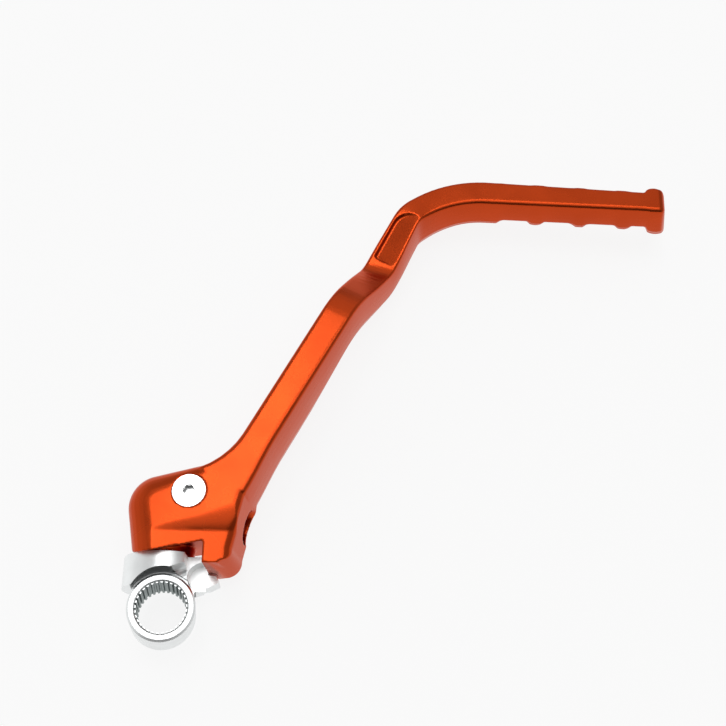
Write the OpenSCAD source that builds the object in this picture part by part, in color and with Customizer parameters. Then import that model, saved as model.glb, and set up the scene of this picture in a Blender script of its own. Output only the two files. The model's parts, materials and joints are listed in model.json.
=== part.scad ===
// Folding kick start lever: a forged lever that swivels on the post of a splined steel knuckle.
// The frame's origin is on the splined hole's axis, at the knuckle's back face.
// +Z runs out along that axis, and the swivel post stands along +Y.
// The lever is shown folded, with its foot peg across the splined hole's axis.

/* [Spline ring] */
// Outer diameter of the ring
ring_d = 25.6; // [24:0.1:27]
// Height of the ring along the splined hole
ring_h = 20; // [18:0.5:22]
// Number of spline teeth
spline_teeth = 33; // [30:1:36]
// Diameter of the hole at the tooth tips
spline_tip_d = 18.6; // [18.2:0.1:19]
// Diameter of the hole at the tooth roots
spline_root_d = 20; // [19.8:0.1:20.6]
// Chamfer on the ring's outer edges
ring_chamfer = 0.8; // [0.4:0.1:1.2]
// Chamfer at the mouths of the splined hole
mouth_chamfer = 0.3; // [0.1:0.1:0.6]

/* [Knuckle] */
// Radius of the flange under the lever's head
flange_r = 16; // [15.2:0.1:16.2]
// Distance from the splined hole's axis to the top of the flange
flange_top = 20; // [19.4:0.1:20.6]
// Distance from the splined hole's axis to the bottom of the flange
flange_bottom = 8; // [6:0.5:10]
// Gap between the ring and the relief cut around it
relief_gap = 1.4; // [1:0.1:2]
// Height at which the relief cut stops
relief_floor = 15; // [13:0.5:16]
// Distance from the post's axis to the end of the flange's front
flange_tip = 9.3; // [9:0.1:11]
// Fillet radius in the notch beside the flange
notch_fillet = 4; // [2:0.5:5]
// Thickness of the stop ear at the back
ear_t = 8.5; // [6:0.5:9]
// Length of the stop ear below the head's finger
ear_reach = 4; // [2:0.5:5]

/* [Swivel post] */
// Diameter of the post
post_d = 17; // [16:0.5:18]
// Distance from the splined hole's axis to the post's end
post_end = 47; // [46.5:0.1:47.5]
// Height of the post's axis over the knuckle's back face
post_z = 10; // [9:0.5:11]
// Radial clearance of the post in the lever
post_fit = 0.05; // [0.02:0.01:0.08]
// Angle between the folded foot peg and a line square to the splined hole
fold_angle = 8; // [4:1:12]
// Angle that the lever swings through from folded to kicking
swing_angle = 82; // [70:1:88]

/* [Head] */
// Distance from the post's axis to the head's front face
head_front = 20; // [19:0.5:21]
// Distance from the post's axis to the head's back face
head_back = 11; // [10:0.5:12.5]
// Radius of the rounded barrel around the post
barrel_r = 12.5; // [12:0.1:13.5]
// Distance from the splined hole's axis to the barrel's top corner centre
barrel_top = 38.2; // [37:0.2:39]
// Distance from the post's axis to the inner face of the stop finger
finger_in = 16.6; // [16.5:0.1:17.5]
// Width of the stop finger
finger_w = 10.4; // [10:0.2:12.8]
// Distance from the splined hole's axis to the finger's end
finger_end = 15; // [14.6:0.1:16]
// Depth of the step between the head's face and the finger's face
finger_step = 3; // [1:0.5:4]
// How far the head's right wall leans out towards the parting line
wall_draft = 2.5; // [0:0.1:3]
// How far the head's right wall slants out between the finger and the arm
wall_slant = 4.6; // [2:0.2:5]

/* [Arm] */
// Angle of the arm away from the post
arm_angle = 28.9; // [25:0.5:33]
// Width of the arm's front face
arm_w = 12.5; // [11:0.5:14]
// Length from the head to the crest where the arm bends
arm_run = 151; // [140:1:165]
// Depth of the arm where the jog begins
arm_d = 24; // [20:0.5:26]
// Distance along the arm to the start of the jog
jog_start = 87; // [80:1:92]
// Length of the slope of the jog
jog_run = 33; // [30:1:37]
// Drop of the front face over the jog
jog_drop = 19.5; // [16:0.5:22]
// Rise of the panel between the jog and the crest
panel_rise = 6; // [3:0.5:8]
// Depth of the arm at the panel
panel_d = 25; // [20:0.5:27]
// Depth of the panel's sloping pocket along its left side
pocket_t = 1.9; // [1:0.1:2.2]
// Radius of the fillet between head and arm
root_fillet = 32; // [24:1:40]
// How far the side walls of arm and peg swell at the parting line
side_draft = 1.2; // [0.4:0.1:1.6]

/* [Elbow and peg] */
// First bend, at the crest
crest_bend = 27; // [20:1:32]
// Radius of the first bend
crest_r = 17; // [12:1:20]
// Radius of the main elbow
elbow_r = 50; // [40:1:60]
// Angle of the peg below a line square to the post
peg_drop_angle = 3.8; // [0:0.2:6]
// Straight length of the peg beyond the elbow
peg_run = 78.3; // [70:1:90]
// Width of the peg's front face at the elbow
peg_w = 11.8; // [10.3:0.5:12.8]
// Width of the peg's front face at the end
peg_w_end = 10; // [8:0.2:11]
// Depth of the peg over its grip ridges
peg_d = 19.5; // [16:0.5:21]
// Distance between the grip ridges
ridge_pitch = 19; // [16:0.5:22]
// Height of the grip ridges
ridge_h = 1.9; // [1:0.1:2.5]
// Length of one grip ridge
ridge_len = 7.5; // [5:0.5:11]
// How far the end flange stands out from the peg
flange_out = 2.1; // [1:0.1:3]
// Length of the end flange
flange_len = 6.5; // [5:0.5:9]
// Outward lean of the peg's end, per unit of depth
end_lean = 0.24; // [0:0.02:0.3]

/* [Retaining screw] */
// Thread diameter of the retaining screw
screw_d = 6; // [5.6:0.1:6.2]
// Length of the retaining screw
screw_len = 30; // [28:0.5:31]
// Diameter of the screw's countersunk head
screw_head_d = 12.8; // [12:0.1:13.2]
// Size of the screw's hexagon socket across flats
screw_hex = 4; // [3.5:0.1:5]
// Distance from the splined hole's axis to the screw
screw_y = 42.3; // [41.8:0.1:42.6]
// How deep the screw enters the groove of the post
screw_bite = 1.3; // [1:0.1:1.5]
// Clearance around the screw in the lever
screw_fit = 0.1; // [0.06:0.02:0.16]

/* [Detent] */
// Distance from the splined hole's axis to the detent
detent_y = 33; // [32:0.2:33.4]
// Diameter of the detent ball
ball_d = 8; // [7:0.2:8.4]
// Depth of the ball's track in the post
track_t = 0.8; // [0.5:0.1:1]
// Extra depth of the two pockets at the ends of the track
click_t = 0.6; // [0.3:0.1:0.8]
// Thread diameter of the detent plug
plug_d = 12; // [11.6:0.1:12.6]
// Length of the detent plug
plug_l = 5; // [4.4:0.2:5.6]
// How far the plug is screwed in below the wall
plug_inset = 3; // [2.4:0.2:3.6]
// Wire diameter of the detent spring
spring_wire = 0.8; // [0.6:0.1:0.9]
// Section of the pivot's rubber ring
seal_d = 1.8; // [1.4:0.1:2]

/* [Hidden] */
$fn = 96;

// Small shared values
eps = 0.01;
seat = 0.05;
orange = "#e8641e";
zinc = "#d9dcdc";
steel = "#b9bcbe";
black = "#222222";

// Places that follow from the sizes above
post_r = post_d / 2;
ring_r = ring_d / 2;
screw_r = screw_d / 2;
screw_x = post_r - screw_bite + screw_r + screw_fit;
ball_r = ball_d / 2;
ball_x = post_r - track_t + ball_r + seat;
wall_x = finger_in + finger_w;
plug_x = wall_x - plug_inset - plug_l;
boss_r = 11;
bore_end = post_end + 0.5;
seal_y = flange_top + 3.5;

// Turns the lever's own frame, whose origin is on the post's axis, into the knuckle's frame
module folded() {
  translate([0, 0, post_z]) rotate([0, -fold_angle, 0]) children();
}

// Puts a Z axis shape along +Y
module along_y() { rotate([-90, 0, 0]) children(); }
// Puts a Z axis shape along +X
module along_x() { rotate([0, 90, 0]) children(); }

function clamp01(t) = t < 0 ? 0 : t > 1 ? 1 : t;
function ease(t) = let (u = clamp01(t)) u * u * (3 - 2 * u);
// Value at x in a list of [x, value] rows, straight between them
function along(rows, x, i = 0) =
  x <= rows[0][0] ? rows[0][1]
  : i >= len(rows) - 1 ? rows[len(rows) - 1][1]
  : x <= rows[i + 1][0]
    ? rows[i][1] + (rows[i + 1][1] - rows[i][1]) * (x - rows[i][0]) / (rows[i + 1][0] - rows[i][0])
  : along(rows, x, i + 1);
// The same value with its corners rounded over a length
function rounded_along(rows, x, span) =
  let (n = 6, values = [for (k = [-n : n]) along(rows, x + k * span / (2 * n))])
  values * [for (v = values) 1 / len(values)];

// Path of the arm, elbow and peg in the plane square to the splined hole
root = [25.2, 45];
turn2 = 90 - arm_angle - crest_bend + peg_drop_angle;
crest_len = crest_r * crest_bend * PI / 180;
elbow_len = elbow_r * turn2 * PI / 180;
crest_at = arm_run - crest_r * tan(crest_bend / 2);
elbow_at = crest_at + crest_len + 1;
peg_at = elbow_at + elbow_len;
peg_end = peg_at + peg_run;
dir0 = 90 - arm_angle;

function dir_at(s) =
  s < crest_at ? dir0
  : s < crest_at + crest_len ? dir0 - crest_bend * (s - crest_at) / crest_len
  : s < elbow_at ? dir0 - crest_bend
  : s < peg_at ? dir0 - crest_bend - turn2 * (s - elbow_at) / elbow_len
  : dir0 - crest_bend - turn2;
function unit(a) = [cos(a), sin(a)];
function arc_step(r, a0, a1) = r * [sin(a0) - sin(a1), cos(a1) - cos(a0)];
p_crest = root + crest_at * unit(dir0);
p_mid = p_crest + arc_step(crest_r, dir0, dir0 - crest_bend);
p_elbow = p_mid + (elbow_at - crest_at - crest_len) * unit(dir0 - crest_bend);
p_peg = p_elbow + arc_step(elbow_r, dir0 - crest_bend, -peg_drop_angle);
function centre_at(s) =
  s < crest_at ? root + s * unit(dir0)
  : s < crest_at + crest_len ? p_crest + arc_step(crest_r, dir0, dir_at(s))
  : s < elbow_at ? p_mid + (s - crest_at - crest_len) * unit(dir0 - crest_bend)
  : s < peg_at ? p_elbow + arc_step(elbow_r, dir0 - crest_bend, dir_at(s))
  : p_peg + (s - peg_at) * unit(-peg_drop_angle);

// Side view of the lever: heights of its front and back over the post's axis
valley_at = jog_start + jog_run;
valley_z = head_front - jog_drop;
peg_front = valley_z + panel_rise - 0.5;
jog_round = 16;
face_round = 7;
back_round = 16;
valley_skew = 1.6;
skew_span = 14;
valley_out = 0.8;
front_rows = [
  [0, head_front], [jog_start + 5, head_front], [valley_at, valley_z],
  [arm_run - 1, valley_z + panel_rise], [arm_run + 7, peg_front], [peg_end, peg_front]
];
back_rows = [
  [0, -head_back + 0.6], [50, -head_back + 0.8], [jog_start, head_front - arm_d],
  [valley_at - 1, valley_z - panel_d + 5.8], [valley_at + 29, valley_z + panel_rise - panel_d + 1],
  [elbow_at + 20, peg_front - peg_d - 0.5],
  [peg_at - 8, peg_front - peg_d], [peg_end, peg_front - peg_d]
];
width_rows = [
  [0, arm_w], [arm_run - 20, arm_w], [arm_run, arm_w - 1], [peg_at, peg_w], [peg_end, peg_w_end]
];
front_round_rows = [[0, 2], [valley_at, 1.2], [arm_run, 1.2], [peg_at, 1.4], [peg_end, 1.4]];
back_round_rows = [[0, 2.5], [arm_run, 3], [peg_at, 4], [peg_end, 4]];

// Scallops between the grip ridges, on the peg's back
ridge_flat = 3.4;
grip_at = peg_at + 4.7;
flange_at = peg_end - flange_len;
function scallop(s) =
  s < grip_at || s > flange_at ? 0
  : let (t = (s - grip_at) / ridge_pitch, d = ridge_pitch * abs(t - round(t)))
    ridge_h * ease((2 * d - ridge_flat) / (ridge_len - ridge_flat));
// How far the sections lean outwards at the back, so that the end slants
function lean(s) = end_lean * ease((s - grip_at) / (peg_end - grip_at));
// Swelling of the end flange, a round bead with its top a little before the end
bead_at = peg_end - 2.2;
function swell(s) =
  let (t = (s - bead_at) / (bead_at - flange_at)) flange_out * pow(max(0, 1 - t * t), 0.7);

function front_z(s) =
  rounded_along(front_rows, s, s > jog_start - 6 && s < valley_at - 8 ? jog_round : face_round);
function back_z(s) = rounded_along(back_rows, s, back_round) + scallop(s) - swell(s) * 1.1;
// How much further along the arm the valley's right end lies
function skew(s) = valley_skew * ease(1 - abs(s - valley_at) / skew_span);
function fillet_out(s) =
  let (f = 21, t = (f - s) / root_fillet) t <= 0 ? 0 : root_fillet * (1 - sqrt(1 - t * t));

// One rounded section of the lever, square to its path, narrowed at the back by n
corner_n = 4;
parting = 0.3;
wall_parts = [0.2, 0.45, 0.7, 1];
near_edge = 0.7;
ridge_out = 0.5;
ridge_side = 0.3;
root_flare = 1.4;
flare_len = 26;
least_round = 0.4;
least_draft = 0.1;
function corner(u, z, r, a) = [
  for (k = [0 : corner_n]) [u + r * cos(a + 90 * k / corner_n), z + r * sin(a + 90 * k / corner_n)]
];
function bulge(f) = 1 - (1 - f) * (1 - f);
function section(u0, u1, z0, z_left, z_right, rf, rn, rb, n, out, d) =
  let (zp = z0 + parting * (z_left - z0)) concat(
    corner(u1 - rn, z_right - rn, rn, 0),
    corner(u0 + rf, z_left - rf, rf, 90),
    [for (f = wall_parts) [u0 + n * 0.3 * f - d * bulge(f), z_left - rf + f * (zp - z_left + rf)]],
    corner(u0 + n - out + rb, z0 + rb, rb, 180),
    corner(u1 - n * 0.6 - rb, z0 + rb, rb, 270),
    [for (k = [len(wall_parts) - 1 : -1 : 0]) let (f = wall_parts[k])
      [u1 - n * 0.3 * f + d * bulge(f), z_right - rn + f * (zp - z_right + rn)]]
  );
function ring_at(s, shrink = 0, push = 0) =
  let (
    c = centre_at(s), a = dir_at(s), d = unit(a), r = [sin(a), -cos(a)],
    w = along(width_rows, s) / 2 + swell(s) * 0.15 - shrink,
    grip = ease((s - grip_at) / 4),
    left = w + fillet_out(s) + swell(s) + ridge_side * grip * (1 - scallop(s) / ridge_h),
    right = w + root_flare * ease(1 - s / flare_len)
      + valley_out * ease(1 - abs(s - valley_at) / (2 * skew_span)),
    back = back_z(s) + shrink,
    front_left = front_z(s + skew(s)) - shrink,
    front_right = front_z(s - skew(s)) - shrink,
    rf = max(least_round, along(front_round_rows, s) - shrink),
    rb = max(least_round, along(back_round_rows, s) - shrink),
    ridge = ridge_out * grip,
    draft = max(least_draft, side_draft - shrink),
    rn = rf + near_edge * ease((s - crest_at) / crest_r),
    n = scallop(s) * 0.6,
    sec = section(-left, right, back, front_left, front_right, rf, rn, rb, n, ridge, draft)
  )
  [for (q = sec) let (p = push + lean(s) * (front_z(s) - q[1]))
    [c[0] + d[0] * p + r[0] * q[0], c[1] + d[1] * p + r[1] * q[0], q[1]]];

// Skin through a list of rings with the same number of points
module skin(rings) {
  n = len(rings[0]);
  m = len(rings);
  pts = [for (r = rings) for (p = r) p];
  sides = [
    for (j = [0 : m - 2]) for (i = [0 : n - 1])
      let (a = j * n + i, b = j * n + (i + 1) % n) each [[a, b, a + n], [b, b + n, a + n]]
  ];
  first = [for (i = [n - 1 : -1 : 0]) i];
  last = [for (i = [0 : n - 1]) (m - 1) * n + i];
  polyhedron(pts, concat([first], sides, [last]));
}

function steps(a, b, n) = [for (k = [0 : n - 1]) a + (b - a) * k / n];

module limb() {
  stations = concat(
    steps(0, 24, 6), steps(24, jog_start - 10, 4), steps(jog_start - 10, valley_at - 4, 16),
    steps(valley_at - 4, valley_at + 8, 8), steps(valley_at + 8, arm_run - 6, 5),
    steps(arm_run - 6, elbow_at, 6), steps(elbow_at, grip_at, 12),
    steps(grip_at, flange_at, 44), steps(flange_at, peg_end, 7)
  );
  dome_side = 3.2;
  dome_out = 2.4;
  dome = [for (a = [0 : 15 : 75]) [dome_side * (1 - cos(a)), dome_out * sin(a)]];
  skin(concat(
    [for (s = stations) ring_at(s)],
    [for (q = dome) ring_at(peg_end, q[0], q[1])]
  ));
}

// Disc with its front and back edges rounded, the corner of a rounded block
parting_z = -3;
module puck(r, front_e, back_e, bulge = 0) {
  n = 7;
  back_arc = [for (k = [0 : n]) back_e * [sin(90 * k / n), -cos(90 * k / n)]];
  front_arc = [for (k = [0 : n]) front_e * [cos(90 * k / n), sin(90 * k / n)]];
  rotate_extrude($fn = 40) polygon(concat(
    [[0, -head_back]],
    [for (q = back_arc) q + [r - back_e, back_e - head_back]],
    bulge > 0 ? [[r + bulge, parting_z]] : [],
    [for (q = front_arc) q + [r - front_e, head_front - front_e]],
    [[0, head_front]]
  ));
}

// Head around the post, before its rim and bores are cut
barrel_out = 1.6;
barrel_low = 12;
corner_r = 3.6;
edge_r = 2.7;
wall_edge = 3.2;
root_r = 8;
wall_top = 41.5;
wall_low = 21;
module head_body() {
  barrel_edge = barrel_r - 3;
  wall_in = wall_x - corner_r;
  hull() {
    translate([-barrel_out, barrel_top, 0]) puck(barrel_r, barrel_edge, edge_r);
    translate([barrel_out * 2, barrel_low, 0]) puck(barrel_r, barrel_edge, edge_r);
    translate([root[0] - 1.2, root[1] + 2.2, 0]) puck(root_r, wall_edge, edge_r, wall_draft);
    translate([wall_in + wall_slant, wall_top, 0]) puck(corner_r, wall_edge, edge_r, wall_draft);
    translate([wall_in, wall_low, 0]) puck(corner_r, wall_edge, edge_r, wall_draft);
  }
}

// Stop finger that hangs from the head beside the flange, its swelling kept clear of the stop ear
ear_room = 1.4;
module finger() {
  inner_r = 2;
  inner_edge = 0.8;
  top = 30;
  low = finger_end + corner_r + max(0, wall_draft - ear_room);
  hull() {
    for (y = [finger_end + inner_r, top])
      translate([finger_in + inner_r, y, 0]) puck(inner_r, inner_edge, inner_edge);
    for (y = [low, top])
      translate([wall_x - corner_r, y, 0]) puck(corner_r, edge_r, edge_r, wall_draft);
  }
}

// Rounded cap over the blind end of the post's bore
module bore_cap() {
  low = 30;
  dome = 4;
  flat = boss_r - dome;
  along_y() rotate_extrude() polygon(concat(
    [[0, low], [boss_r, low]],
    [for (a = [0 : 15 : 90]) [flat + dome * cos(a), bore_end - 1 + dome * sin(a)]],
    [[0, bore_end - 1 + dome]]
  ));
}

// Slanted rim cut under the head, whose front lip hangs lower than its back
rim_slope = 9.5;
lip_slope = 19;
rim_rise = 2.3;
lip_drop = 0.5;
module rim_cut() {
  big = 80;
  below = [2 * big, big, 2 * big];
  intersection() {
    translate([-big / 2, -big / 2, -big / 2]) cube([big / 2 + finger_in, big, big]);
    rotate([0, 0, rim_slope]) translate([-big, flange_top + rim_rise - big, -big]) cube(below);
    translate([0, flange_top - lip_drop, head_front]) rotate([lip_slope, 0, 0])
      rotate([0, 0, rim_slope]) translate([-big, -big, -big]) cube(below);
  }
  translate([-big / 2, finger_end - big, -big / 2]) cube([big, big, big]);
}

// Step in front of the finger, which fades out towards the barrel. Its right edge is rounded.
step_x0 = -3;
step_x1 = wall_x + 8;
step_low = 27;
step_edge = 3.6;
step_end = wall_x + 0.5;
step_widths = [[step_x0, 2], [13, 6.5], [23, 11.5], [wall_x, 13.5], [step_x1, 15]];
function step_floor(x) =
  let (t = clamp01((x - step_end + step_edge) / step_edge))
  head_front - finger_step * (x - step_x0) / (wall_x - step_x0) - step_edge * (1 - sqrt(1 - t * t));
function step_ring(x) =
  let (
    low = 8, over = 5, n = 10, z = step_floor(x), rise = along(step_widths, x),
    drift = clamp01(x / wall_x) * wall_slant / (wall_top - wall_low)
  )
  concat(
    [[x, low, head_front + over], [x, low, z], [x, wall_low, z]],
    [for (k = [0 : n]) let (y = step_low + rise * k / n)
      [x + drift * (y - wall_low), y, z + (head_front + seat - z) * bulge(k / n)]],
    [[x + drift * (step_low + rise - wall_low), step_low + rise, head_front + over]]
  );
module finger_face_cut() {
  edge = [for (a = [90 : -15 : 0]) step_end - step_edge * (1 - sin(a))];
  skin([for (x = concat([step_x1], edge, [23, 19, 13, 5, step_x0])) step_ring(x)]);
}

// Shallow pocket in the panel between the jog and the crest. Its floor meets the right edge and
// slopes down to the left, where a narrow rim is left standing.
pocket_rim = 2.1;
pocket_corner = 8;
pocket_skin = 0.12;
module panel_pocket() {
  start = valley_at + 5.2;
  end = arm_run + 1;
  half = arm_w / 2;
  left = half - pocket_rim;
  long = end - start;
  foot = long - pocket_corner;
  slope = atan2(front_z(end - 4) - front_z(start), long - 4);
  tilt = atan2(pocket_t - pocket_skin, left + half);
  c = centre_at(start) + half * [sin(dir0), -cos(dir0)];
  translate([c[0], c[1], front_z(start) - pocket_skin]) rotate([0, 0, dir0]) rotate([0, -slope, 0])
    rotate([-tilt, 0, 0]) linear_extrude(8) polygon(concat(
      [[0, -4], [0, left + half - 1], [1, left + half]],
      [for (a = [90 : -15 : 0])
        [foot + pocket_corner * cos(a), left + half - pocket_corner * (1 - sin(a))]],
      [[long, -4]]
    ));
}

module post_bore() {
  along_y() cylinder(h = bore_end, r = post_r + post_fit);
}
screw_land = 0.6;
module screw_bore() {
  depth = screw_len + 1.5;
  bore_r = screw_r + screw_fit;
  sink_r = screw_head_d / 2 + screw_fit;
  rim = head_front - screw_land;
  translate([screw_x, screw_y, head_front - depth]) cylinder(h = depth + 1, r = bore_r);
  translate([screw_x, screw_y, 0]) rotate_extrude() polygon([
    [0, rim - sink_r], [0, head_front + 1], [sink_r, head_front + 1],
    [sink_r, rim], [bore_r, rim - sink_r + bore_r]
  ]);
}
module detent_bore() {
  through = 60;
  plug_r = plug_d / 2;
  translate([0, detent_y, 0]) along_x() {
    cylinder(h = through, r = ball_r + seat);
    translate([0, 0, plug_x - 0.5]) cylinder(h = through, r = plug_r + seat);
    translate([0, 0, wall_x - 1]) cylinder(h = through, r = plug_r + 0.8);
  }
}

module lever() {
  color(orange) folded() difference() {
    union() {
      difference() {
        head_body();
        rim_cut();
      }
      finger();
      bore_cap();
      along_y() translate([0, 0, flange_top + 0.1]) cylinder(h = 12, r = boss_r);
      limb();
    }
    finger_face_cut();
    panel_pocket();
    post_bore();
    screw_bore();
    detent_bore();
  }
}

// Splined hole: a row of straight teeth around the tip circle
module spline_hole() {
  tip = spline_tip_d / 2;
  root_circle = spline_root_d / 2;
  pitch = 360 / spline_teeth;
  half_in = tip * sin(pitch * 0.36);
  half_out = root_circle * sin(pitch * 0.17);
  circle(r = tip);
  for (i = [0 : spline_teeth - 1]) rotate(i * pitch) polygon([
    [tip - 0.5, -half_in], [root_circle, -half_out], [root_circle, half_out], [tip - 0.5, half_in]
  ]);
}

// Stop ear, built in the folded lever's frame so that its face meets the finger
module ear() {
  face = finger_in - seat;
  tip = face + ear_reach;
  inner = 4;
  top = flange_top - 0.2;
  translate([0, 0, -post_z]) linear_extrude(ear_t) polygon([
    [inner, flange_bottom + 0.5], [face, flange_bottom + 1.5], [tip, finger_end - 3.6],
    [tip - 0.8, finger_end - 1], [face, finger_end - 0.5], [face, finger_end + 2.6],
    [face - 2, top], [inner, top]
  ]);
}

// Notch beside the flange's front, with a slanted wall, a fillet and a floor,
// and a deeper round pocket over the ear
module notch() {
  slant = 24;
  floor_z = 5;
  far = 40;
  start = [2.5, 13.2];
  pocket = [15.2, 12.1];
  pocket_r = 5.8;
  r = notch_fillet;
  wall = [for (a = [90 : -15 : 0]) [r * (cos(a) - 1), floor_z + r * (1 - sin(a))]];
  translate(start) rotate([0, 0, slant]) rotate([90, 0, 90])
    linear_extrude(far) polygon(concat([[-far, far], [-far, floor_z]], wall, [[0, far]]));
  translate([flange_tip, -6, floor_z + eps]) cube([far, far, far]);
  translate([pocket[0], pocket[1], ear_t - post_z]) cylinder(h = far, r = pocket_r);
  translate([pocket[0], pocket[1] - pocket_r + eps, ear_t - post_z + eps]) cube([far, far, far]);
}

module knuckle() {
  c = ring_chamfer;
  m = mouth_chamfer;
  mouth_r = spline_root_d / 2;
  post_chamfer = 0.6;
  far = 100;
  color(zinc) difference() {
    union() {
      // ring
      rotate_extrude() polygon([
        [0, 0], [ring_r - c, 0], [ring_r, c],
        [ring_r, ring_h - c], [ring_r - c, ring_h], [0, ring_h]
      ]);
      difference() {
        union() {
          // flange, flat at the back where it lines up with the ring
          intersection() {
            translate([0, flange_bottom, post_z]) along_y()
              cylinder(h = flange_top - flange_bottom, r = flange_r);
            translate([-far / 2, 0, 0]) cube(far);
          }
          // neck between the ring and the flange
          translate([1 - ring_r, 0, 0]) cube([2 * ring_r - 2, flange_bottom + 4, relief_floor]);
          intersection() {
            folded() ear();
            translate([-far / 2, 0, 0]) cube(far);
          }
        }
        // relief around the ring's front
        difference() {
          translate([0, 0, relief_floor]) cylinder(h = 40, r = ring_r + relief_gap);
          cylinder(h = ring_h, r = ring_r - c);
        }
        folded() notch();
      }
      // post
      translate([0, 0, post_z]) along_y() rotate_extrude() polygon([
        [0, flange_top - 2], [post_r, flange_top - 2],
        [post_r, post_end - post_chamfer], [post_r - post_chamfer, post_end], [0, post_end]
      ]);
    }
    // splined hole and its mouths
    translate([0, 0, -1]) linear_extrude(ring_h + 2) spline_hole();
    for (side = [0, 1]) translate([0, 0, side * ring_h]) mirror([0, 0, side])
      translate([0, 0, -eps]) cylinder(h = 2 * m, r1 = mouth_r + m, r2 = mouth_r - m);
    folded() {
      // groove that the retaining screw rides in
      groove_w = screw_d + 0.3;
      groove_spare = acos((post_r - screw_bite) / post_r) + 1.5;
      along_y() rotate([0, 0, -(swing_angle + groove_spare)]) translate([0, 0, screw_y - groove_w / 2])
        rotate_extrude(angle = swing_angle + 2 * groove_spare)
          translate([post_r - screw_bite - seat, 0]) square([screw_bite + 2, groove_w]);
      // track of the detent ball, with a pocket at each end
      along_y() translate([0, 0, detent_y]) rotate_extrude()
        translate([ball_x, 0]) circle(r = ball_r + seat);
      for (a = [0, swing_angle]) rotate([0, -a, 0])
        translate([ball_x - click_t, detent_y, 0]) sphere(r = ball_r + seat);
      // seat of the rubber ring
      along_y() translate([0, 0, seal_y - seal_d / 2 - 0.2]) rotate_extrude()
        translate([post_r - seal_d + seat, 0]) square([seal_d + 2, seal_d + 0.4]);
    }
  }
}

module retaining_screw() {
  top = head_front - 0.25;
  end = top - screw_len;
  land = top - 0.4;
  tip = 0.8;
  head_r = screw_head_d / 2;
  socket = screw_hex / cos(30);
  color(steel) folded() translate([screw_x, screw_y, 0]) difference() {
    rotate_extrude() polygon([
      [0, top], [head_r, top], [head_r, land], [screw_r, land - head_r + screw_r],
      [screw_r, end + tip], [screw_r - tip, end], [0, end]
    ]);
    translate([0, 0, top - 2.6]) cylinder(h = 3, d = socket, $fn = 6);
    translate([0, 0, top - 0.3]) cylinder(h = 0.6, r1 = socket / 2 - 0.2, r2 = socket / 2 + 0.4);
  }
}

module detent_ball() {
  color(steel) folded() translate([ball_x, detent_y, 0]) sphere(r = ball_r);
}

plug_hex = 6;
plug_socket_t = 3.5;
module detent_plug() {
  color(steel) folded() translate([plug_x, detent_y, 0]) along_x() difference() {
    cylinder(h = plug_l, r = plug_d / 2);
    translate([0, 0, plug_l - plug_socket_t]) cylinder(h = plug_l, d = plug_hex / cos(30), $fn = 6);
  }
}

// Coil spring between the ball and the plug
module detent_spring() {
  coil_r = ball_r - spring_wire / 2 - 0.3;
  turns = 3;
  per_turn = 14;
  sides = 8;
  touch = ball_r + spring_wire / 2 + seat;
  x0 = ball_x + sqrt(touch * touch - coil_r * coil_r);
  x1 = plug_x - spring_wire / 2 - seat;
  last = turns * per_turn;
  function around(a) = [0, cos(a), sin(a)];
  color(steel) folded() translate([0, detent_y, 0]) skin([
    for (k = [0 : last])
      let (a = 360 * k / per_turn, p = [x0 + (x1 - x0) * k / last, 0, 0] + coil_r * around(a))
      [for (i = [sides - 1 : -1 : 0]) let (b = 360 * i / sides)
        p + spring_wire / 2 * ([sin(b), 0, 0] + cos(b) * around(a))]
  ]);
}

module pivot_seal() {
  color(black) folded() translate([0, seal_y, 0]) along_y()
    rotate_extrude() translate([post_r - seal_d / 2 + seat, 0]) circle(d = seal_d - 0.1, $fn = 24);
}

lever();
knuckle();
retaining_screw();
detent_ball();
detent_spring();
detent_plug();
pivot_seal();
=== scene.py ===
"""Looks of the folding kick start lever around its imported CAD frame."""
import json
import math

import bmesh
import bpy
from mathutils import Matrix, Vector


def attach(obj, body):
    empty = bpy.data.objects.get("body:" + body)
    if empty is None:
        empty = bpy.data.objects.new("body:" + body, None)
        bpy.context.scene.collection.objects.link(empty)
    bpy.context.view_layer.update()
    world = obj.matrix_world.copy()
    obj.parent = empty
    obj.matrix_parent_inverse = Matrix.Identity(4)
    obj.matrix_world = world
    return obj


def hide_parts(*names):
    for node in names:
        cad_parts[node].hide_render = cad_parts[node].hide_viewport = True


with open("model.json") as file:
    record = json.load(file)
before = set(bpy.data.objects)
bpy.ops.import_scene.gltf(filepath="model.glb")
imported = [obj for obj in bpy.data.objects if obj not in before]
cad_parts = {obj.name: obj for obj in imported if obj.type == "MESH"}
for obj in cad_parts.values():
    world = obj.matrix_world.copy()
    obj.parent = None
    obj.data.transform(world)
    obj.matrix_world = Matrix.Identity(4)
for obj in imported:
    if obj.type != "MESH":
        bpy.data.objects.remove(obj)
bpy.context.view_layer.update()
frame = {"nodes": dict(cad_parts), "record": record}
nodes = frame["nodes"]

# Places on the part, in metres. The lever lies folded, turned by FOLD about the post's height
POST_Z = 0.010
FOLD = math.radians(8.0)
RING = (0, 0, 0)
SCREW = (0.0103, 0.0423, 0)
UPRIGHT = (0, 0, 1)


def lever_direction(v):
    """A direction of the folded lever, in the part's frame."""
    x, y, z = v
    return Vector((
        x * math.cos(FOLD) - z * math.sin(FOLD), y, x * math.sin(FOLD) + z * math.cos(FOLD)
    ))


def lever_point(p):
    """A point of the folded lever, in the part's frame."""
    return lever_direction(p) + Vector((0, 0, POST_Z))


def new_object(name, data):
    ob = bpy.data.objects.new(name, data)
    bpy.context.scene.collection.objects.link(ob)
    return ob


# Shader nodes
NOISE_SPAN = (0.3, 0.7)
MIX_SHARE, MIX_FIRST, MIX_SECOND, MIX_COLOUR = 0, 6, 7, 2


def feed(nt, socket, value):
    """Links a socket to another node's output, or sets it to a plain value."""
    if isinstance(value, bpy.types.NodeSocket):
        nt.links.new(value, socket)
    else:
        socket.default_value = value


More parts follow.
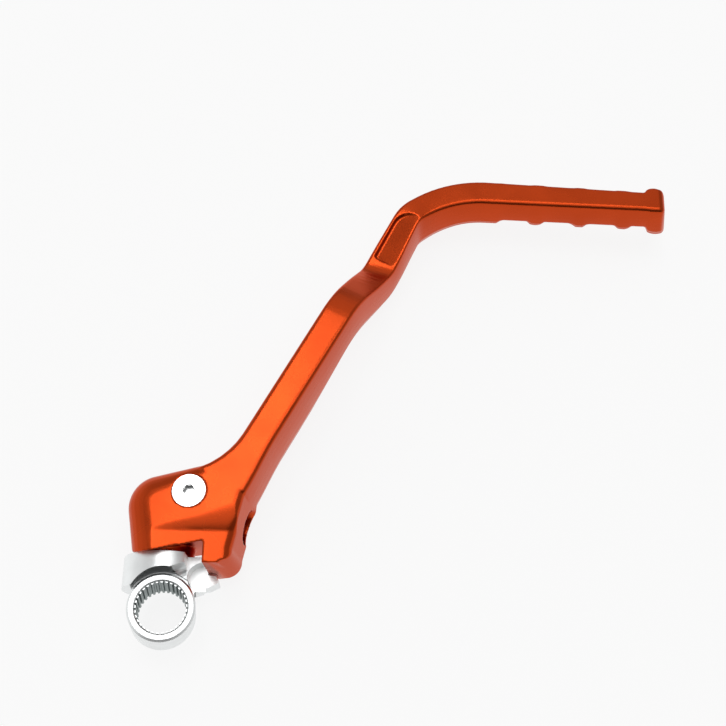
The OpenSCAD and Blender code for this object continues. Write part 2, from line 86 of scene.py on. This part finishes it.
def calculate(nt, kind, operation, values, result):
    n = nt.nodes.new(kind)
    n.operation = operation
    for socket, value in zip(n.inputs, values):
        feed(nt, socket, value)
    return n.outputs[result]


def number(nt, operation, *values):
    return calculate(nt, "ShaderNodeMath", operation, values, "Value")


def vector(nt, operation, *values):
    return calculate(nt, "ShaderNodeVectorMath", operation, values, "Vector")


def measure(nt, operation, *values):
    """A number worked out from vectors."""
    return calculate(nt, "ShaderNodeVectorMath", operation, values, "Value")


def noise(nt, scale, detail):
    """A noise texture in object coordinates, in metres."""
    coords = nt.nodes.new("ShaderNodeTexCoord")
    n = nt.nodes.new("ShaderNodeTexNoise")
    n.inputs["Scale"].default_value = scale
    n.inputs["Detail"].default_value = detail
    nt.links.new(coords.outputs["Object"], n.inputs["Vector"])
    return n.outputs["Fac"]


def ramp(nt, source, span, colours):
    """Runs from one colour to another over a span of the source."""
    r = nt.nodes.new("ShaderNodeValToRGB")
    for stop, position, colour in zip(r.color_ramp.elements, span, colours):
        stop.position = position
        stop.color = (*colour, 1)
    nt.links.new(source, r.inputs["Fac"])
    return r.outputs["Color"]


def map_range(nt, source, span, result):
    m = nt.nodes.new("ShaderNodeMapRange")
    m.inputs["From Min"].default_value, m.inputs["From Max"].default_value = span
    m.inputs["To Min"].default_value, m.inputs["To Max"].default_value = result
    nt.links.new(source, m.inputs["Value"])
    return m.outputs["Result"]


def mix_colour(nt, share, source, colour):
    """Blends a source towards a plain colour."""
    mix = nt.nodes.new("ShaderNodeMix")
    mix.data_type = "RGBA"
    nt.links.new(share, mix.inputs[MIX_SHARE])
    nt.links.new(source, mix.inputs[MIX_FIRST])
    mix.inputs[MIX_SECOND].default_value = (*colour, 1)
    return mix.outputs[MIX_COLOUR]


def add_bump(nt, bsdf, height, strength, distance):
    bump = nt.nodes.new("ShaderNodeBump")
    bump.inputs["Strength"].default_value = strength
    bump.inputs["Distance"].default_value = distance
    nt.links.new(height, bump.inputs["Height"])
    nt.links.new(bump.outputs["Normal"], bsdf.inputs["Normal"])


def new_material(name, metallic, rough):
    m = bpy.data.materials.new(name)
    m.use_nodes = True
    bsdf = m.node_tree.nodes["Principled BSDF"]
    bsdf.inputs["Metallic"].default_value = metallic
    bsdf.inputs["Roughness"].default_value = rough
    return m, m.node_tree, bsdf


# Materials
def anodised():
    """Orange anodised aluminium, a little uneven, over a fine blasted grain."""
    m, nt, bsdf = new_material("anodised_lever_mat", 1.0, 0.3)
    bsdf.inputs["Coat Weight"].default_value = 0.05
    bsdf.inputs["Coat Roughness"].default_value = 0.25
    bsdf.inputs["Specular Tint"].default_value = (1.0, 0.8, 0.75, 1)
    broad = noise(nt, scale=60.0, detail=2.0)
    fine = noise(nt, scale=2600.0, detail=2.0)
    colours = ((0.50, 0.052, 0.008), (0.56, 0.060, 0.010))
    nt.links.new(ramp(nt, broad, NOISE_SPAN, colours), bsdf.inputs["Base Color"])
    nt.links.new(map_range(nt, broad, NOISE_SPAN, (0.24, 0.32)), bsdf.inputs["Roughness"])
    add_bump(nt, bsdf, fine, strength=0.12, distance=0.00006)
    return m


# How far a wall's painted shade takes to fade, in metres, and how level a face is where the painted
# shade ends
SHADE_EDGE = 0.0001
LEVEL_SPAN = (0.45, 0.7)


def painted_shade_walls(nt, source, colour, point, axis, far, near=0):
    """Painted shade: a darker colour on the faces along an axis, between two distances from it."""
    coords = nt.nodes.new("ShaderNodeTexCoord").outputs

    def beyond(distance, result):
        span = (distance - SHADE_EDGE, distance + SHADE_EDGE)
        return map_range(nt, from_axis, span, result)

    offset = vector(nt, "SUBTRACT", coords["Object"], tuple(point))
    from_axis = measure(nt, "LENGTH", vector(nt, "CROSS_PRODUCT", offset, tuple(axis)))
    level = number(nt, "ABSOLUTE", measure(nt, "DOT_PRODUCT", coords["Normal"], tuple(axis)))
    share = beyond(far, (1.0, 0.0))
    if near > 0:
        share = number(nt, "MULTIPLY", share, beyond(near, (0.0, 1.0)))
    share = number(nt, "MULTIPLY", share, map_range(nt, level, LEVEL_SPAN, (1.0, 0.0)))
    return mix_colour(nt, share, source, colour)


def plated(name, colour, roughness, grain=0.1, walls=()):
    """Bright metal with faint clouds, a fine grain and painted shade on the walls of its recesses."""
    m, nt, bsdf = new_material(name, 1.0, roughness[0])
    broad = noise(nt, scale=150.0, detail=3.0)
    fine = noise(nt, scale=3500.0, detail=2.0)
    clouded = tuple(0.9 * c for c in colour)
    shade = ramp(nt, broad, NOISE_SPAN, (clouded, colour))
    # Painted shade on each listed recess wall
    for wall in walls:
        shade = painted_shade_walls(nt, shade, **wall)
    nt.links.new(shade, bsdf.inputs["Base Color"])
    nt.links.new(map_range(nt, broad, NOISE_SPAN, roughness), bsdf.inputs["Roughness"])
    add_bump(nt, bsdf, fine, strength=grain, distance=0.00005)
    return m


def rubber():
    m, nt, bsdf = new_material("seal_rubber_mat", 0.0, 0.6)
    grain = noise(nt, scale=1500.0, detail=3.0)
    colours = ((0.012, 0.012, 0.012), (0.03, 0.03, 0.03))
    nt.links.new(ramp(nt, grain, NOISE_SPAN, colours), bsdf.inputs["Base Color"])
    add_bump(nt, bsdf, grain, strength=0.2, distance=0.00005)
    return m


# Painted shade on the walls of the splined hole, of the relief round the ring, and of the screw's
# socket
SPLINE_PAINTED_SHADE = {
    "colour": (0.18, 0.22, 0.215), "point": RING, "axis": UPRIGHT, "far": 0.0101
}
# Painted shade in the relief groove round the ring
RELIEF_PAINTED_SHADE = {
    "colour": (0.09, 0.10, 0.10), "point": RING, "axis": UPRIGHT, "near": 0.0135, "far": 0.0146
}
# Painted shade on the side walls of the screw's socket
SOCKET_PAINTED_SHADE = {
    "colour": (0.04, 0.045, 0.045),
    "point": lever_point(SCREW), "axis": lever_direction(UPRIGHT), "far": 0.0030
}

MATERIALS = {
    "anodised_lever": anodised(),
    # The knuckle's splines and relief groove, and the screw's socket, get painted shade
    "plated_knuckle": plated(
        "plated_knuckle_mat", (0.94, 0.96, 0.96), (0.34, 0.42), 0.2, (SPLINE_PAINTED_SHADE, RELIEF_PAINTED_SHADE)
    ),
    "plated_screw": plated("plated_screw_mat", (0.93, 0.94, 0.94), (0.2, 0.3), walls=(SOCKET_PAINTED_SHADE,)),
    "ball_steel": plated("ball_steel_mat", (0.75, 0.75, 0.75), (0.06, 0.12), 0.03),
    "spring_steel": plated("spring_steel_mat", (0.5, 0.5, 0.5), (0.25, 0.4)),
    "plug_steel": plated("plug_steel_mat", (0.85, 0.86, 0.86), (0.18, 0.3)),
    "seal_rubber": rubber(),
}
SLOT_OF = {s["node"]: s["material_slot"] for s in frame["record"]["subparts"]}
for name, obj in nodes.items():
    for slot in obj.material_slots:
        slot.material = MATERIALS[SLOT_OF[name]]

# The forged lever: a closed skin of small voxels over the CAD mesh, smoothed a few times
WELD = 1e-6
SKIN_TRIANGLES = 180000
SKIN_VOXEL, SKIN_ROUNDS = 0.00042, 4


def bake(ob):
    """Turns an object's modifiers into its mesh."""
    graph = bpy.context.evaluated_depsgraph_get()
    mesh = bpy.data.meshes.new_from_object(ob.evaluated_get(graph))
    ob.modifiers.clear()
    ob.data = mesh
    return mesh


def forged(source, name):
    mesh = nodes[source].data.copy()
    mesh.name = name
    bm = bmesh.new()
    bm.from_mesh(mesh)
    bmesh.ops.remove_doubles(bm, verts=bm.verts, dist=WELD)
    bm.to_mesh(mesh)
    bm.free()
    ob = new_object(name, mesh)
    remesh = ob.modifiers.new("remesh", "REMESH")
    remesh.mode = "VOXEL"
    remesh.voxel_size = SKIN_VOXEL
    smooth = ob.modifiers.new("smooth", "SMOOTH")
    smooth.factor = 0.5
    smooth.iterations = SKIN_ROUNDS
    skin_mesh = bake(ob)
    triangles = sum(len(p.vertices) - 2 for p in skin_mesh.polygons)
    if triangles > SKIN_TRIANGLES:
        decimate = ob.modifiers.new("decimate", "DECIMATE")
        decimate.ratio = SKIN_TRIANGLES / triangles
        skin_mesh = bake(ob)
    skin_mesh.name = name
    for p in skin_mesh.polygons:
        p.use_smooth = True
    skin_mesh.materials.clear()
    skin_mesh.materials.append(MATERIALS[SLOT_OF[source]])
    return ob


skin = forged("lever", "lever_forged")
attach(skin, "lever")
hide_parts("lever")

# Camera, fitted to the photo: its place in metres, its tilt on the folded lever and its focal
# length in pixels of the photo's width
CAMERA_PLACE = (0.0223294, -0.0747281, 0.4044903)
CAMERA_PITCH = math.radians(24.9)
FOCAL_PX = 1000.0
PHOTO_PX = 726.0
SENSOR_MM = 36.0


def photo_camera():
    right = lever_direction((1, 0, 0))
    up = lever_direction((0, math.cos(CAMERA_PITCH), math.sin(CAMERA_PITCH)))
    forward = lever_direction((0, math.sin(CAMERA_PITCH), -math.cos(CAMERA_PITCH)))
    camera = bpy.data.cameras.new("photo_camera")
    camera.sensor_width = SENSOR_MM
    camera.lens = FOCAL_PX / PHOTO_PX * SENSOR_MM
    camera.clip_start = 0.01
    camera.clip_end = 20.0
    ob = new_object("photo_camera", camera)
    turn = Matrix((right, up, -forward)).transposed().to_4x4()
    ob.matrix_world = Matrix.Translation(Vector(CAMERA_PLACE)) @ turn
    bpy.context.scene.camera = ob


photo_camera()

# Table, in the plane that the part rests on: the plane's normal, a point in it, and how far below
# it the table lies
REST_UP = Vector((-0.0868, 0.0189, 0.9960)).normalized()
REST_POINT = Vector((0.0118, -0.0023, 0.0))
TABLE_GAP = 0.0001
TABLE_HALF = 3.0
TABLE_PALE = (0.92, 0.92, 0.92, 1)
# Share of plain white in the table as it is seen
WHITE_SHARE = 0.87


def table_place():
    east = (Vector((1, 0, 0)) - REST_UP * REST_UP.x).normalized()
    north = REST_UP.cross(east)
    place = Matrix((east, north, REST_UP)).transposed().to_4x4()
    place.translation = REST_POINT - REST_UP * TABLE_GAP
    return place


def table_material():
    """A pale table that, seen directly, in a reflection or through glass, is mostly plain white."""
    m, nt, bsdf = new_material("table_mat", 0.0, 0.9)
    bsdf.inputs["Base Color"].default_value = TABLE_PALE
    bsdf.inputs["Specular IOR Level"].default_value = 0.0
    rays = nt.nodes.new("ShaderNodeLightPath").outputs
    seen = number(nt, "MAXIMUM", rays["Is Camera Ray"], rays["Is Glossy Ray"])
    seen = number(nt, "MAXIMUM", seen, rays["Is Transmission Ray"])
    white = nt.nodes.new("ShaderNodeEmission")
    white.inputs["Color"].default_value = (1, 1, 1, 1)
    white.inputs["Strength"].default_value = 1.0
    mix = nt.nodes.new("ShaderNodeMixShader")
    nt.links.new(number(nt, "MULTIPLY", seen, WHITE_SHARE), mix.inputs["Fac"])
    nt.links.new(bsdf.outputs["BSDF"], mix.inputs[1])
    nt.links.new(white.outputs["Emission"], mix.inputs[2])
    nt.links.new(mix.outputs["Shader"], nt.nodes["Material Output"].inputs["Surface"])
    return m


def table():
    mesh = bpy.data.meshes.new("table")
    corners = [(x * TABLE_HALF, y * TABLE_HALF, 0) for x, y in ((-1, -1), (1, -1), (1, 1), (-1, 1))]
    mesh.from_pydata(corners, [], [(0, 1, 2, 3)])
    mesh.materials.append(table_material())
    ob = new_object("table", mesh)
    ob.matrix_world = table_place()


table()

# Light: a bright strip over the far side of the table, and dimmer cards overhead and behind
HEAD_SIDE = (0.05, 0.05, 0.0)
CENTRE = (0.09, 0.10, 0.0)


def area_light(name, place, aim, width, height, radiance, roll=0.0):
    """A rectangle of even brightness, turned to its aim and rolled by some degrees."""
    light = bpy.data.lights.new(name, "AREA")
    light.shape = "RECTANGLE"
    light.size = width
    light.size_y = height
    light.energy = radiance * math.pi * width * height
    ob = new_object(name, light)
    turn = (Vector(aim) - Vector(place)).to_track_quat("-Z", "Y").to_matrix().to_4x4()
    turn = turn @ Matrix.Rotation(math.radians(roll), 4, "Z")
    ob.matrix_world = Matrix.Translation(Vector(place)) @ turn


area_light("softbox", (-0.50, 0.82, 2.0), HEAD_SIDE, width=0.38, height=0.74, radiance=4.6, roll=-67.0)
area_light("overhead", (0.04, 0.41, 2.1), CENTRE, width=1.45, height=0.6, radiance=2.0)
area_light("ceiling", (0.10, -0.45, 2.0), CENTRE, width=1.4, height=1.1, radiance=0.7)
area_light("far_card", (0.10, 2.2, 1.9), CENTRE, width=1.9, height=2.2, radiance=0.32)

# Room: grey, darker on the photographer's side, with a pale opening on the left
NEAR_SIDE = (0.10, -0.94, 0.32)
LEFT_SIDE = (-0.97, 0.15, -0.18)
ROOM_GREY = (0.42, 0.42, 0.42)
ROOM_DARK = (0.15, 0.15, 0.15)
ROOM_PALE = (0.8, 0.8, 0.8)


def room():
    world = bpy.data.worlds.new("room")
    bpy.context.scene.world = world
    world.use_nodes = True
    nt = world.node_tree
    direction = nt.nodes.new("ShaderNodeTexCoord").outputs["Generated"]
    near = measure(nt, "DOT_PRODUCT", direction, NEAR_SIDE)
    left = measure(nt, "DOT_PRODUCT", direction, LEFT_SIDE)
    walls = ramp(nt, near, (0.5, 0.85), (ROOM_GREY, ROOM_DARK))
    opening = map_range(nt, left, (0.4, 0.85), (0.0, 1.0))
    background = nt.nodes["Background"]
    nt.links.new(mix_colour(nt, opening, walls, ROOM_PALE), background.inputs["Color"])
    background.inputs["Strength"].default_value = 1.0


room()

bpy.context.scene.view_settings.view_transform = "Standard"
